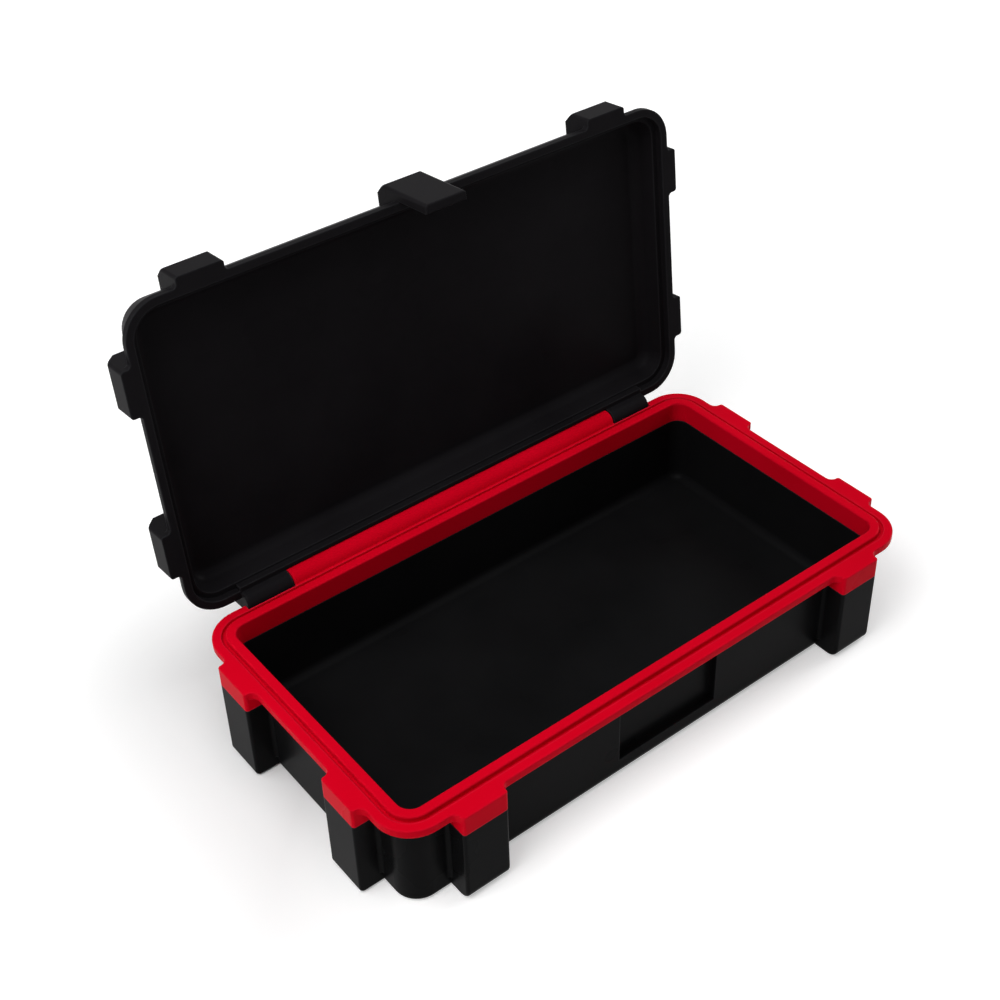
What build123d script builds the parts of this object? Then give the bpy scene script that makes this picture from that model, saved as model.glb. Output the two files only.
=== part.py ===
from build123d import *
import os

# Plastic pencil box with a hinged lid, in millimetres.
# X runs along the box, Y from front to back, Z up from the table.

# Rim outline, shared by tub, frame and lid
rim_half_x = 104.4
rim_half_y = 55.6
rim_radius = 12.6
band_tall = 7.2
flange_thick = 3.1
ridge_rise = 0.75
groove_near = 3.0
groove_far = 4.4
groove_deep = 1.2
ridge_round = 0.6

# Tub
split_height = 28.8
wall_inset = 4.5
bore_inset = 7.75
floor_thick = 2.2
long_bottom_round = 3.7
end_bottom_round = 1.6
well_bottom_round = 3.0

# Corner blocks
block_stand = 3.5
block_wide = 16.0
block_in_x = 26.9
block_in_y = 26.6
block_flare = 3.2
foot_flare = 1.4
block_round = 1.0
block_root = 2.0
edge_round = 0.4
flange_round = 0.6

# Finger recess in the front wall
recess_half = 20.3
recess_low = 7.3
recess_deep = 2.6
recess_backing = 1.65
recess_cheek = 2.0

# Tongue that seats the frame in the tub
tongue_wide = 1.2
tongue_deep = 1.6
tongue_gap = 0.1
tongue_below = 0.2
tongue_end = 1.5

# Hinge
hinge_up = -0.2
hinge_out = 1.6
knuckle_r = 3.7
knuckle_in = 35.4
ear_gap = 0.4
ear_long = 17.0
ear_root = 8.0
ear_round = 0.7
knuckle_round = 0.5
swing_gap = 0.4
lid_open = 95.9
pin_r = 1.2
pin_in_knuckle = 10.5
pin_in_ear = 10.6
pin_run = 0.06
pin_end_gap = 0.5
pin_bevel = 0.25
stop_gap = 0.3
stop_lean = 0.2

# Lid
lid_gap = 0.3
lid_tall = 12.0
lid_flange = 2.2
lid_step_in = 1.2
lid_slope = 17.0
lid_top_round = 3.0
lid_lip = 2.7
lid_step_deep = 2.6
lid_ledge = 4.7
lid_top_thick = 1.8
lid_inner_round = 4.0
lid_flare = 1.4
lid_bevel = 3.4
lid_block_deep = 14.0
tab_half = 7.7
tab_drop = 14.6
tab_root = 8.0
tab_gap = 0.35
rear_lip_gap = 0.5

# How far joined solids run into each other, and cutting solids past a surface
bite = 0.5
past = 1.0

# Smallest length that counts
tiny = 0.01

# Worked out from the sizes above
rim_top = split_height + band_tall
block_at_x = rim_half_x - block_in_x
block_at_y = rim_half_y - block_in_y
knuckle_half = rim_half_x - knuckle_in
reach_x = rim_half_x + block_stand
reach_y = rim_half_y + block_stand
wall_x = rim_half_x - wall_inset
wall_y = rim_half_y - wall_inset
wall_r = rim_radius - wall_inset
foot_tall = long_bottom_round + bite
bore_x = rim_half_x - bore_inset
bore_y = rim_half_y - bore_inset
bore_r = rim_radius - bore_inset
hinge_y = rim_half_y + hinge_out
hinge_z = rim_top + hinge_up
swing_r = knuckle_r + swing_gap
ear_start = knuckle_half + ear_gap
ear_end = ear_start + ear_long
flange_low = rim_top - flange_thick
lid_z = rim_top + lid_gap
lid_top = lid_z + lid_tall
ear_back = hinge_y + knuckle_r
pad_top = hinge_z - knuckle_r - stop_gap - stop_lean

os.makedirs("parts", exist_ok=True)


def slab(half_x, half_y, radius, low, high):
    outline = RectangleRounded(2 * half_x, 2 * half_y, radius)
    return Pos(0, 0, low) * extrude(outline, high - low)


def brick(x0, x1, y0, y1, z0, z1):
    middle = Pos((x0 + x1) / 2, (y0 + y1) / 2, (z0 + z1) / 2)
    return middle * Box(x1 - x0, y1 - y0, z1 - z0)


def rod(radius, x0, x1):
    turned = Rot(0, 90, 0) * Cylinder(radius, x1 - x0)
    return Pos((x0 + x1) / 2, hinge_y, hinge_z) * turned


def block_plan(half_x, half_y, radius, long_sides, flare):
    # long_sides says which long sides have blocks: -1 is the front, 1 the back
    plan = RectangleRounded(2 * half_x, 2 * half_y, radius)
    long_side = reach_y - half_y + radius
    short_side = reach_x - half_x + radius
    for sx in (-1, 1):
        for sy in long_sides:
            spot = Pos(sx * block_at_x, sy * (reach_y - long_side / 2))
            plan += spot * Rectangle(block_wide, long_side)
        for sy in (-1, 1):
            spot = Pos(sx * (reach_x - short_side / 2), sy * block_at_y)
            plan += spot * Rectangle(short_side, block_wide)
    inner = [v for v in plan.vertices() if is_inner(v, half_x, half_y)]
    plan = fillet(inner, min(flare, reach_y - half_y - block_round - tiny))
    outer = [v for v in plan.vertices() if is_outer(v)]
    return fillet(outer, block_round)


def is_inner(v, half_x, half_y):
    # true where a block's side meets the outline
    near_x = abs(abs(abs(v.X) - block_at_x) - block_wide / 2) < tiny
    near_y = abs(abs(abs(v.Y) - block_at_y) - block_wide / 2) < tiny
    on_long = abs(abs(v.Y) - half_y) < tiny
    on_short = abs(abs(v.X) - half_x) < tiny
    return (near_x and on_long) or (near_y and on_short)


def is_outer(v):
    return abs(abs(v.Y) - reach_y) < tiny or abs(abs(v.X) - reach_x) < tiny


def tongue_ring(side, low, high):
    middle = (wall_inset + bore_inset) / 2
    near = middle - tongue_wide / 2 - side
    far = middle + tongue_wide / 2 + side
    ring = slab(rim_half_x - near, rim_half_y - near, rim_radius - near, low, high)
    ring -= slab(rim_half_x - far, rim_half_y - far, rim_radius - far, low - past, high + past)
    return ring


def tub_walls(bottom_round):
    body = slab(wall_x, wall_y, wall_r, 0, foot_tall + past)
    return fillet(body.edges().group_by(Axis.Z)[0], bottom_round)


def foot_block(stand, bottom_round):
    # a block whose outer face is at y = 0 and that runs back into the wall
    half = block_wide / 2
    deep = stand + bottom_round + bite
    block = brick(-half, half, 0, deep, 0, foot_tall + past)
    front = block.edges().filter_by(Axis.X).group_by(Axis.Z)[0].sort_by(Axis.Y)[0]
    block = fillet(front, bottom_round)
    sides = [e for e in block.edges() if abs(abs(e.center().X) - half) < tiny]
    low = [e for e in sides if e.center().Z < foot_tall]
    return fillet([e for e in low if e.center().Y < deep - tiny], block_round)


def make_tub():
    # the long sides are rounded more at the bottom than the two ends
    ends = tub_walls(end_bottom_round)
    ends -= brick(-block_at_x, block_at_x, -reach_y, reach_y, -past, foot_tall + 2 * past)
    body = tub_walls(long_bottom_round) + ends
    long_block = foot_block(reach_y - wall_y, long_bottom_round)
    end_block = foot_block(reach_x - wall_x, end_bottom_round)
    for sx in (-1, 1):
        body += Pos(sx * block_at_x, -reach_y, 0) * long_block
        body += Pos(sx * block_at_x, reach_y, 0) * Rot(0, 0, 180) * long_block
        for sy in (-1, 1):
            body += Pos(sx * reach_x, sy * block_at_y, 0) * Rot(0, 0, sx * 90) * end_block
    far_x = reach_x + past
    far_y = reach_y + past
    body -= brick(-far_x, far_x, -far_y, far_y, foot_tall, foot_tall + 2 * past)
    upper = extrude(block_plan(wall_x, wall_y, wall_r, (-1, 1), foot_flare), split_height - foot_tall)
    body += Pos(0, 0, foot_tall) * upper
    well = slab(bore_x, bore_y, bore_r, floor_thick, split_height + past)
    well = fillet(well.edges().group_by(Axis.Z)[0], min(well_bottom_round, bore_r - bite))
    body -= well
    half = recess_half + recess_cheek
    backing = -bore_y + recess_backing
    body += brick(-half, half, -bore_y - bite, backing, floor_thick - bite, split_height)
    recess_back = -wall_y + recess_deep
    body -= brick(-recess_half, recess_half, -wall_y - past, recess_back, recess_low, split_height + past)
    body -= tongue_ring(tongue_gap, split_height - tongue_deep - tongue_below, split_height + past)
    return body


def frame_blocks():
    blocks = []
    deep = block_stand + wall_inset + block_root
    half = block_wide / 2
    top = rim_top - edge_round - bite
    for sx in (-1, 1):
        x = sx * block_at_x
        blocks.append(soft_brick(x - half, x + half, -reach_y, -reach_y + deep, split_height, top))
        blocks.append(soft_brick(x - half, x + half, reach_y - deep, reach_y, split_height, pad_top))
        ends = sorted([sx * reach_x, sx * (reach_x - deep)])
        for sy in (-1, 1):
            y = sy * block_at_y
            blocks.append(soft_brick(ends[0], ends[1], y - half, y + half, split_height, top))
    return blocks


def soft_brick(x0, x1, y0, y1, z0, z1):
    block = brick(x0, x1, y0, y1, z0, z1)
    return fillet(block.edges().filter_by(Axis.Z), block_round)


def knuckle_bar():
    bar = rod(knuckle_r, -knuckle_half, knuckle_half)
    low = hinge_z - knuckle_r
    bar += brick(-knuckle_half, knuckle_half, wall_y - past, hinge_y, low, flange_low + bite)
    ends = [bar.faces().sort_by(Axis.X)[0], bar.faces().sort_by(Axis.X)[-1]]
    edges = [e for face in ends for e in face.edges() if e.geom_type == GeomType.CIRCLE]
    return fillet(edges, knuckle_round)


def make_frame():
    plan = block_plan(wall_x, wall_y, wall_r, (-1,), foot_flare)
    lower = extrude(plan, flange_low - split_height + past)
    plan = block_plan(rim_half_x, rim_half_y, rim_radius, (-1,), block_flare)
    plate = extrude(plan, flange_thick)
    plate = fillet(plate.edges().group_by(Axis.Z)[0], flange_round)
    plate = fillet(plate.edges().group_by(Axis.Z)[-1], edge_round)
    body = Pos(0, 0, flange_low) * plate
    body += Pos(0, 0, split_height) * lower
    for block in frame_blocks():
        body += block
    far_x = rim_half_x - groove_far
    far_y = rim_half_y - groove_far
    far_r = rim_radius - groove_far
    near_x = rim_half_x - groove_near
    near_y = rim_half_y - groove_near
    near_r = rim_radius - groove_near
    groove_low = rim_top - groove_deep
    body -= slab(near_x, near_y, near_r, groove_low, rim_top + past)
    ridge = slab(far_x, far_y, far_r, groove_low, rim_top + ridge_rise)
    ridge -= slab(bore_x, bore_y, bore_r, groove_low - past, rim_top + ridge_rise + past)
    ridge = fillet(ridge.edges().group_by(Axis.Z)[-1], ridge_round)
    body += ridge
    body += knuckle_bar()
    for sx in (-1, 1):
        ends = sorted([sx * knuckle_half, sx * (ear_end + ear_gap)])
        body -= rod(swing_r, ends[0], ends[1])
    body -= slab(bore_x, bore_y, bore_r, split_height - past, groove_low + bite)
    tongue = tongue_ring(0, split_height - tongue_deep, split_height + bite)
    half = recess_half + tongue_end
    low = split_height - tongue_deep - past
    tongue -= brick(-half, half, -wall_y - past, -bore_y + past, low, split_height)
    body += tongue
    for sx in (-1, 1):
        ends = sorted([sx * (knuckle_half - pin_in_knuckle), sx * (knuckle_half + past)])
        body -= rod(pin_r, ends[0], ends[1])
    return body


def soften_block(block, along, outward):
    # bevel the outer edge at the top, then round the outer corners
    level = block.edges().filter_by(along).group_by(Axis.Z)[-1]
    block = chamfer(level.sort_by(outward)[-1], lid_bevel)
    outer = block.edges().filter_by(Axis.Z).group_by(outward)[-1]
    return fillet(outer, block_round)


def lid_blocks():
    blocks = []
    deep = lid_block_deep
    half = block_wide / 2
    front = Axis((0, 0, 0), (0, -1, 0))
    for sx in (-1, 1):
        x = sx * block_at_x
        block = brick(x - half, x + half, -reach_y, -reach_y + deep, lid_z, lid_top)
        blocks.append(soften_block(block, Axis.X, front))
        side = Axis((0, 0, 0), (sx, 0, 0))
        ends = sorted([sx * reach_x, sx * (reach_x - deep)])
        for sy in (-1, 1):
            y = sy * block_at_y
            block = brick(ends[0], ends[1], y - half, y + half, lid_z, lid_top)
            blocks.append(soften_block(block, Axis.Y, side))
    tab = brick(-tab_half, tab_half, -reach_y, -reach_y + deep, lid_z, lid_top)
    blocks.append(soften_block(tab, Axis.X, front))
    return blocks


def tab_tip():
    back = -rim_half_y - tab_gap
    tip = brick(-tab_half, tab_half, -reach_y, back, rim_top - tab_drop, lid_z + bite)
    sides = tip.edges().filter_by(Axis.Z).group_by(Axis.Y)[0]
    tip = fillet(sides, block_round)
    return fillet(tip.edges().group_by(Axis.Z)[0], edge_round)


def ear(sx):
    ends = sorted([sx * ear_start, sx * ear_end])
    low = hinge_y - knuckle_r
    body = brick(ends[0], ends[1], low, ear_back, hinge_z, lid_top)
    edge = body.edges().filter_by(Axis.X).group_by(Axis.Z)[-1].sort_by(Axis.Y)[-1]
    body = chamfer(edge, lid_bevel + ear_back - reach_y)
    body += rod(knuckle_r, ends[0], ends[1])
    outer = body.faces().sort_by(Axis.X)[-1 if sx > 0 else 0]
    body = fillet(outer.edges().sort_by(Axis.Y)[1:], ear_round)
    return body + brick(ends[0], ends[1], low - ear_root, low + bite, lid_z, lid_top)


def make_lid():
    plan = block_plan(rim_half_x, rim_half_y, rim_radius, (-1,), lid_flare)
    plan += Pos(0, -reach_y + tab_root / 2) * RectangleRounded(2 * tab_half, tab_root, block_round)
    body = Pos(0, 0, lid_z) * extrude(plan, lid_flange)
    half_x = rim_half_x - lid_step_in
    half_y = rim_half_y - lid_step_in
    outline = RectangleRounded(2 * half_x, 2 * half_y, rim_radius - lid_step_in)
    shell = extrude(outline, lid_tall - lid_flange, taper=lid_slope)
    shell = fillet(shell.edges().group_by(Axis.Z)[-1], lid_top_round)
    body += Pos(0, 0, lid_z + lid_flange) * shell
    for block in lid_blocks():
        body += block
    body += tab_tip()
    body += ear(-1)
    body += ear(1)
    step_x = rim_half_x - lid_lip
    step_y = rim_half_y - lid_lip
    rear_y = rim_half_y - groove_far + rear_lip_gap
    step = slab(step_x, step_y, rim_radius - lid_lip, lid_z - past, lid_z + lid_step_deep)
    low = lid_z - 2 * past
    high = lid_z + lid_step_deep + past
    step -= brick(-ear_end, ear_end, rear_y, step_y + past, low, high)
    body -= step
    half_x = rim_half_x - lid_ledge
    half_y = rim_half_y - lid_ledge
    outline = RectangleRounded(2 * half_x, 2 * half_y, rim_radius - lid_ledge)
    hollow = extrude(outline, lid_tall - lid_top_thick - lid_step_deep, taper=lid_slope)
    hollow = fillet(hollow.edges().group_by(Axis.Z)[-1], lid_inner_round)
    hollow += slab(half_x, half_y, rim_radius - lid_ledge, -lid_step_deep - past, 0)
    body -= Pos(0, 0, lid_z + lid_step_deep) * hollow
    body -= rod(swing_r, -ear_start, ear_start)
    for sx in (-1, 1):
        ends = sorted([sx * (ear_start - past), sx * (ear_start + pin_in_ear + pin_end_gap)])
        body -= rod(pin_r + pin_run, ends[0], ends[1])
    return body.rotate(Axis((0, hinge_y, hinge_z), (1, 0, 0)), -lid_open)


def make_pin(sx):
    inner = knuckle_half - pin_in_knuckle
    outer = ear_start + pin_in_ear
    ends = sorted([sx * inner, sx * outer])
    pin = rod(pin_r, ends[0], ends[1])
    return chamfer(pin.edges().filter_by(GeomType.CIRCLE), pin_bevel)


export_step(make_tub(), "parts/tub.step")
export_step(make_frame(), "parts/rim_frame.step")
export_step(make_lid(), "parts/lid.step")
export_step(make_pin(-1), "parts/hinge_pin_left.step")
export_step(make_pin(1), "parts/hinge_pin_right.step")
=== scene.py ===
import math
import bpy
from mathutils import Matrix, Vector

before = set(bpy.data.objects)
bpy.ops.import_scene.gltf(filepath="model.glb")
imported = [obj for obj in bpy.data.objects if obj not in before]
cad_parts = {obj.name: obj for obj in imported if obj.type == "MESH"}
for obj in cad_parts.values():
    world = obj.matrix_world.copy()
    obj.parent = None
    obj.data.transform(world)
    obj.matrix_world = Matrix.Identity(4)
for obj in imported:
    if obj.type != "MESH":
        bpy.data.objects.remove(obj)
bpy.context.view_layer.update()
print("loaded:", ", ".join(sorted(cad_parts)))

# Camera: where the photograph was taken from, in metres and degrees
photoCamera = {
    "eye": (-0.25181, -0.30296, 0.38644),
    "azimuth": -37.381,
    "elevation": 36.391,
    "roll": -1.715,
    "sensor": 36.0,       # mm
    "lens": 57.996,       # mm
    "shiftX": -0.0092,
    "shiftY": -0.0695,
    "clip": (0.01, 50.0),
}


def placeCamera(setup):
    az, el, roll = (math.radians(setup[k]) for k in ("azimuth", "elevation", "roll"))
    back = Vector((math.sin(az) * math.cos(el), -math.cos(az) * math.cos(el), math.sin(el)))
    level = (-back).cross(Vector((0, 0, 1))).normalized()
    upright = level.cross(-back)
    right = level * math.cos(roll) + upright * math.sin(roll)
    up = upright * math.cos(roll) - level * math.sin(roll)
    data = bpy.data.cameras.new("photoCamera")
    data.sensor_width = setup["sensor"]
    data.lens = setup["lens"]
    data.shift_x = setup["shiftX"]
    data.shift_y = setup["shiftY"]
    data.clip_start, data.clip_end = setup["clip"]
    camera = bpy.data.objects.new("photoCamera", data)
    bpy.context.scene.collection.objects.link(camera)
    turn = Matrix((right, up, back)).transposed().to_4x4()
    camera.matrix_world = Matrix.Translation(setup["eye"]) @ turn
    bpy.context.scene.camera = camera
    print("camera placed, lens", setup["lens"])


placeCamera(photoCamera)


# Small helpers for node materials
def newMaterial(name):
    material = bpy.data.materials.new(name)
    material.use_nodes = True
    tree = material.node_tree
    tree.nodes.clear()
    out = tree.nodes.new("ShaderNodeOutputMaterial")
    return material, tree, out


def addNode(tree, kind, settings=None, inputs=None):
    node = tree.nodes.new(kind)
    for key, value in (settings or {}).items():
        setattr(node, key, value)
    for key, value in (inputs or {}).items():
        if isinstance(value, bpy.types.NodeSocket):
            tree.links.new(value, node.inputs[key])
        else:
            node.inputs[key].default_value = value
    return node


def sums(tree, operation, first, second, clamp=False):
    node = addNode(tree, "ShaderNodeMath", {"operation": operation, "use_clamp": clamp}, {
        0: first, 1: second})
    return node.outputs["Value"]


def vectorSums(tree, operation, first, second, result="Vector"):
    node = addNode(tree, "ShaderNodeVectorMath", {"operation": operation}, {0: first, 1: second})
    return node.outputs[result]


def mixColours(tree, amount, first, second):
    # a Mix node's sockets 6 and 7 are its two colours, and its result 2 is the mixed one
    node = addNode(tree, "ShaderNodeMix", {"data_type": "RGBA"}, {0: amount, 6: first, 7: second})
    return node.outputs[2]


def mixNumbers(tree, amount, first, second):
    # and 2 and 3 are its two numbers
    node = addNode(tree, "ShaderNodeMix", {"data_type": "FLOAT"}, {0: amount, 2: first, 3: second})
    return node.outputs[0]


def rangeOf(tree, value, low, high, fromLow=0.3, fromHigh=0.7):
    # a noise mostly lies between 0.3 and 0.7
    node = addNode(tree, "ShaderNodeMapRange", None, {
        "Value": value, "From Min": fromLow, "From Max": fromHigh, "To Min": low, "To Max": high})
    return node.outputs["Result"]


def grainNoise(tree, scale, detail):
    coord = addNode(tree, "ShaderNodeTexCoord")
    node = addNode(tree, "ShaderNodeTexNoise", {"noise_dimensions": "3D"}, {
        "Vector": coord.outputs["Object"], "Scale": scale, "Detail": detail, "Roughness": 0.5})
    return node.outputs["Fac"]


# Moulded plastics: what all three share, in metres, and then each piece's own
moulding = {
    "cloudDetail": 3.0,
    "grainDetail": 2.0,
    "grainHeight": 0.00005,
    "edgeRadius": 0.0005,
    "edgeSamples": 6,
}
tubPlastic = {
    "name": "satinBlackPlastic",
    "dark": (0.0050, 0.0050, 0.0053, 1),
    "light": (0.0068, 0.0068, 0.0072, 1),
    "edge": (0.022, 0.022, 0.024, 1),     # painted highlight where an edge stands out
    "edgeStrength": 2.0,
    "specular": 0.015,                    # low, because the surroundings are all white
    "tint": (1, 1, 1, 1),
    "smooth": 0.26,
    "dull": 0.34,
    "cloudScale": 30.0,
    "grainScale": 2200.0,
    "grainDepth": 0.2,
}
lidPlastic = {
    "name": "darkBlackPlastic",
    "dark": (0.0076, 0.0069, 0.0079, 1),
    "light": (0.0102, 0.0094, 0.0106, 1),
    # painted highlight on the edges that stand out
    "edge": (0.020, 0.020, 0.022, 1),
    "edgeStrength": 2.0,
    "specular": 0.010,
    "tint": (1, 1, 1, 1),
    "smooth": 0.26,
    "dull": 0.34,
    "cloudScale": 30.0,
    "grainScale": 2200.0,
    "grainDepth": 0.2,
}
rimPlastic = {
    "name": "glossRedPlastic",
    "dark": (0.58, 0.0006, 0.011, 1),
    "light": (0.64, 0.0010, 0.014, 1),
    # painted highlight, a lighter pink red, on the edges that stand out
    "edge": (0.68, 0.012, 0.035, 1),
    "edgeStrength": 1.5,
    "specular": 0.012,
    "tint": (1.0, 0.2, 0.25, 1),
    "smooth": 0.24,
    "dull": 0.32,
    "cloudScale": 25.0,
    "grainScale": 2000.0,
    "grainDepth": 0.15,
}


def edgeMask(tree, strength):
    # a normal that rounds the edges, and a mask:
    # 0 on a face or in a corner, 1 on an edge that stands out, where a highlight is painted
    bevel = addNode(tree, "ShaderNodeBevel", {"samples": moulding["edgeSamples"]}, {
        "Radius": moulding["edgeRadius"]})
    inside = addNode(tree, "ShaderNodeAmbientOcclusion", {
        "samples": moulding["edgeSamples"], "inside": True, "only_local": True}, {
        "Distance": moulding["edgeRadius"]})
    thin = sums(tree, "SUBTRACT", 1.0, inside.outputs["AO"])
    return bevel.outputs["Normal"], sums(tree, "MULTIPLY", thin, strength, clamp=True)


def mouldedPlastic(look):
    material, tree, out = newMaterial(look["name"])
    shader = addNode(tree, "ShaderNodeBsdfPrincipled", None, {
        "Specular IOR Level": look["specular"], "Specular Tint": look["tint"]})
    cloudy = grainNoise(tree, look["cloudScale"], moulding["cloudDetail"])
    fine = grainNoise(tree, look["grainScale"], moulding["grainDetail"])
    softNormal, edges = edgeMask(tree, look["edgeStrength"])
    body = mixColours(tree, rangeOf(tree, cloudy, 0.0, 1.0), look["dark"], look["light"])
    # painted highlight: the lighter edge colour laid over the body colour on edges that stand out
    colour = mixColours(tree, edges, body, look["edge"])
    bump = addNode(tree, "ShaderNodeBump", None, {
        "Strength": look["grainDepth"], "Distance": moulding["grainHeight"],
        "Height": fine, "Normal": softNormal})
    tree.links.new(colour, shader.inputs["Base Color"])
    tree.links.new(rangeOf(tree, cloudy, look["smooth"], look["dull"]), shader.inputs["Roughness"])
    tree.links.new(bump.outputs["Normal"], shader.inputs["Normal"])
    tree.links.new(shader.outputs["BSDF"], out.inputs["Surface"])
    return material


hingePinLook = {
    "name": "drawnSteelPin",
    "dark": (0.50, 0.51, 0.52, 1),
    "light": (0.62, 0.63, 0.64, 1),
    "smooth": 0.22,
    "dull": 0.35,
    "drawnScale": 900.0,
    "drawnDetail": 4.0,
    "drawnDepth": 0.1,
    "drawnHeight": 0.00003,
}


def pinSteel(look):
    material, tree, out = newMaterial(look["name"])
    shader = addNode(tree, "ShaderNodeBsdfPrincipled", None, {"Metallic": 1.0})
    drawn = grainNoise(tree, look["drawnScale"], look["drawnDetail"])
    colour = mixColours(tree, rangeOf(tree, drawn, 0.0, 1.0), look["dark"], look["light"])
    bump = addNode(tree, "ShaderNodeBump", None, {
        "Strength": look["drawnDepth"], "Distance": look["drawnHeight"], "Height": drawn})
    tree.links.new(colour, shader.inputs["Base Color"])
    tree.links.new(rangeOf(tree, drawn, look["smooth"], look["dull"]), shader.inputs["Roughness"])
    tree.links.new(bump.outputs["Normal"], shader.inputs["Normal"])
    tree.links.new(shader.outputs["BSDF"], out.inputs["Surface"])
    return material


def dress(nodeName, material):
    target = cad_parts[nodeName]
    target.data.materials.clear()
    target.data.materials.append(material)


steel = pinSteel(hingePinLook)
dress("tub", mouldedPlastic(tubPlastic))
dress("lid", mouldedPlastic(lidPlastic))
dress("rim_frame", mouldedPlastic(rimPlastic))
dress("hinge_pin_left", steel)
dress("hinge_pin_right", steel)
print("box dressed in black and red plastic")

# Studio: a white sheet under the box and soft light round it, in metres
studio = {
    "floorSide": 6.0,
    "floorDrop": 0.0001,             # keeps the sheet off the box's underside
    "floorColour": (0.86, 0.86, 0.86, 1),
    "boxMiddle": (0.0, 0.011, 0.0),  # of what stands on the sheet,
    "boxHalf": (0.100, 0.062, 1.0),  # and its half sizes
    "shadowReach": 0.065,            # how far from the box the sheet's shadow runs out
    "paintedLightSide": (0.7, -0.7, 0),    # the side lit by the right lamp and, near the box, by painted light; the other is darker
    "shadowTurn": (-0.075, -0.035),  # where, along it, dark passes into lit
    "glowNear": (0.0, 0.40),         # close to the box: none on its dark side, painted light on its lit side
    "glowOpen": 0.36,                # past the shadow
    "glowFar": 1.0,                  # added where the lamps don't reach
    "farSheet": (0.15, 1.2),         # where that starts and where it is all there
    "worldStrength": 0.1,
    "lamps": [
        # name, place, size across, watts
        ("topSoftbox", (-0.2, 0.0, 1.1), 1.0, 4.5),
        ("keySoftbox", (-0.42, -0.05, 0.65), 0.5, 2.6),
        ("leftSoftbox", (-0.9, -0.15, 0.4), 0.7, 0.9),
        ("rightSoftbox", (1.0, -0.1, 0.5), 0.7, 4.8),
        ("edgeLamp", (-0.6, 0.62, 0.5), 0.2, 0.9),
    ],
    "aim": (0, 0, 0.03),             # all lamps face this point in the box
}


def seenDirectly(tree):
    # 1 for what the camera sees, also by way of a mirror or through glass
    path = addNode(tree, "ShaderNodeLightPath")
    mirrored = sums(tree, "MAXIMUM", path.outputs["Is Camera Ray"], path.outputs["Is Glossy Ray"])
    return sums(tree, "MAXIMUM", mirrored, path.outputs["Is Transmission Ray"])


def sheetGlow(tree, setup):
    # painted light: none close to the box on its dark side, so that the shadow stays, some close
    # to it on its lit front-right side, and more farther out
    place = addNode(tree, "ShaderNodeTexCoord").outputs["Object"]
    fromMiddle = vectorSums(tree, "SUBTRACT", place, setup["boxMiddle"])
    positive = vectorSums(tree, "ABSOLUTE", fromMiddle, (0, 0, 0))
    past = vectorSums(tree, "SUBTRACT", positive, setup["boxHalf"])
    outside = vectorSums(tree, "MAXIMUM", past, (0, 0, 0))
    away = vectorSums(tree, "LENGTH", outside, (0, 0, 0), "Value")
    side = vectorSums(tree, "DOT_PRODUCT", place, setup["paintedLightSide"], "Value")
    # painted light: the glow near the box is brighter on its front-right side than on its
    # back-left
    near = rangeOf(tree, side, *setup["glowNear"], *setup["shadowTurn"])
    spread = rangeOf(tree, away, 0.0, 1.0, 0.0, setup["shadowReach"])
    level = mixNumbers(tree, spread, near, setup["glowOpen"])
    far = rangeOf(tree, away, 0.0, setup["glowFar"], *setup["farSheet"])
    return sums(tree, "ADD", level, far, clamp=True)


def layFloor(setup):
    half = setup["floorSide"] / 2
    mesh = bpy.data.meshes.new("whiteSheet")
    corners = [(-half, -half), (half, -half), (half, half), (-half, half)]
    mesh.from_pydata([(x, y, -setup["floorDrop"]) for x, y in corners], [], [(0, 1, 2, 3)])
    sheet = bpy.data.objects.new("whiteSheet", mesh)
    bpy.context.scene.collection.objects.link(sheet)
    material, tree, out = newMaterial("whiteSheetPaper")
    lift = sums(tree, "MULTIPLY", seenDirectly(tree), sheetGlow(tree, setup))
    paper = addNode(tree, "ShaderNodeBsdfDiffuse", None, {"Color": setup["floorColour"]})
    glow = addNode(tree, "ShaderNodeEmission", None, {"Color": (1, 1, 1, 1), "Strength": lift})
    both = addNode(tree, "ShaderNodeAddShader", None, {
        0: paper.outputs["BSDF"], 1: glow.outputs["Emission"]})
    tree.links.new(both.outputs["Shader"], out.inputs["Surface"])
    mesh.materials.append(material)


def lightStudio(setup):
    world = bpy.data.worlds.new("studioWorld")
    world.use_nodes = True
    tree = world.node_tree
    tree.nodes.clear()
    out = addNode(tree, "ShaderNodeOutputWorld")
    air = addNode(tree, "ShaderNodeBackground", None, {
        "Color": (1, 1, 1, 1), "Strength": setup["worldStrength"]})
    white = addNode(tree, "ShaderNodeBackground", None, {"Color": (1, 1, 1, 1), "Strength": 1.0})
    swap = addNode(tree, "ShaderNodeMixShader", None, {
        0: seenDirectly(tree), 1: air.outputs["Background"], 2: white.outputs["Background"]})
    tree.links.new(swap.outputs["Shader"], out.inputs["Surface"])
    bpy.context.scene.world = world
    for name, place, across, watts in setup["lamps"]:
        data = bpy.data.lights.new(name, "AREA")
        data.shape = "DISK"
        data.size = across
        data.energy = watts
        lamp = bpy.data.objects.new(name, data)
        lamp.location = place
        towards = Vector(setup["aim"]) - Vector(place)
        lamp.rotation_euler = towards.to_track_quat("-Z", "Y").to_euler()
        bpy.context.scene.collection.objects.link(lamp)


layFloor(studio)
lightStudio(studio)
bpy.context.scene.view_settings.view_transform = "Standard"
print("studio lit")
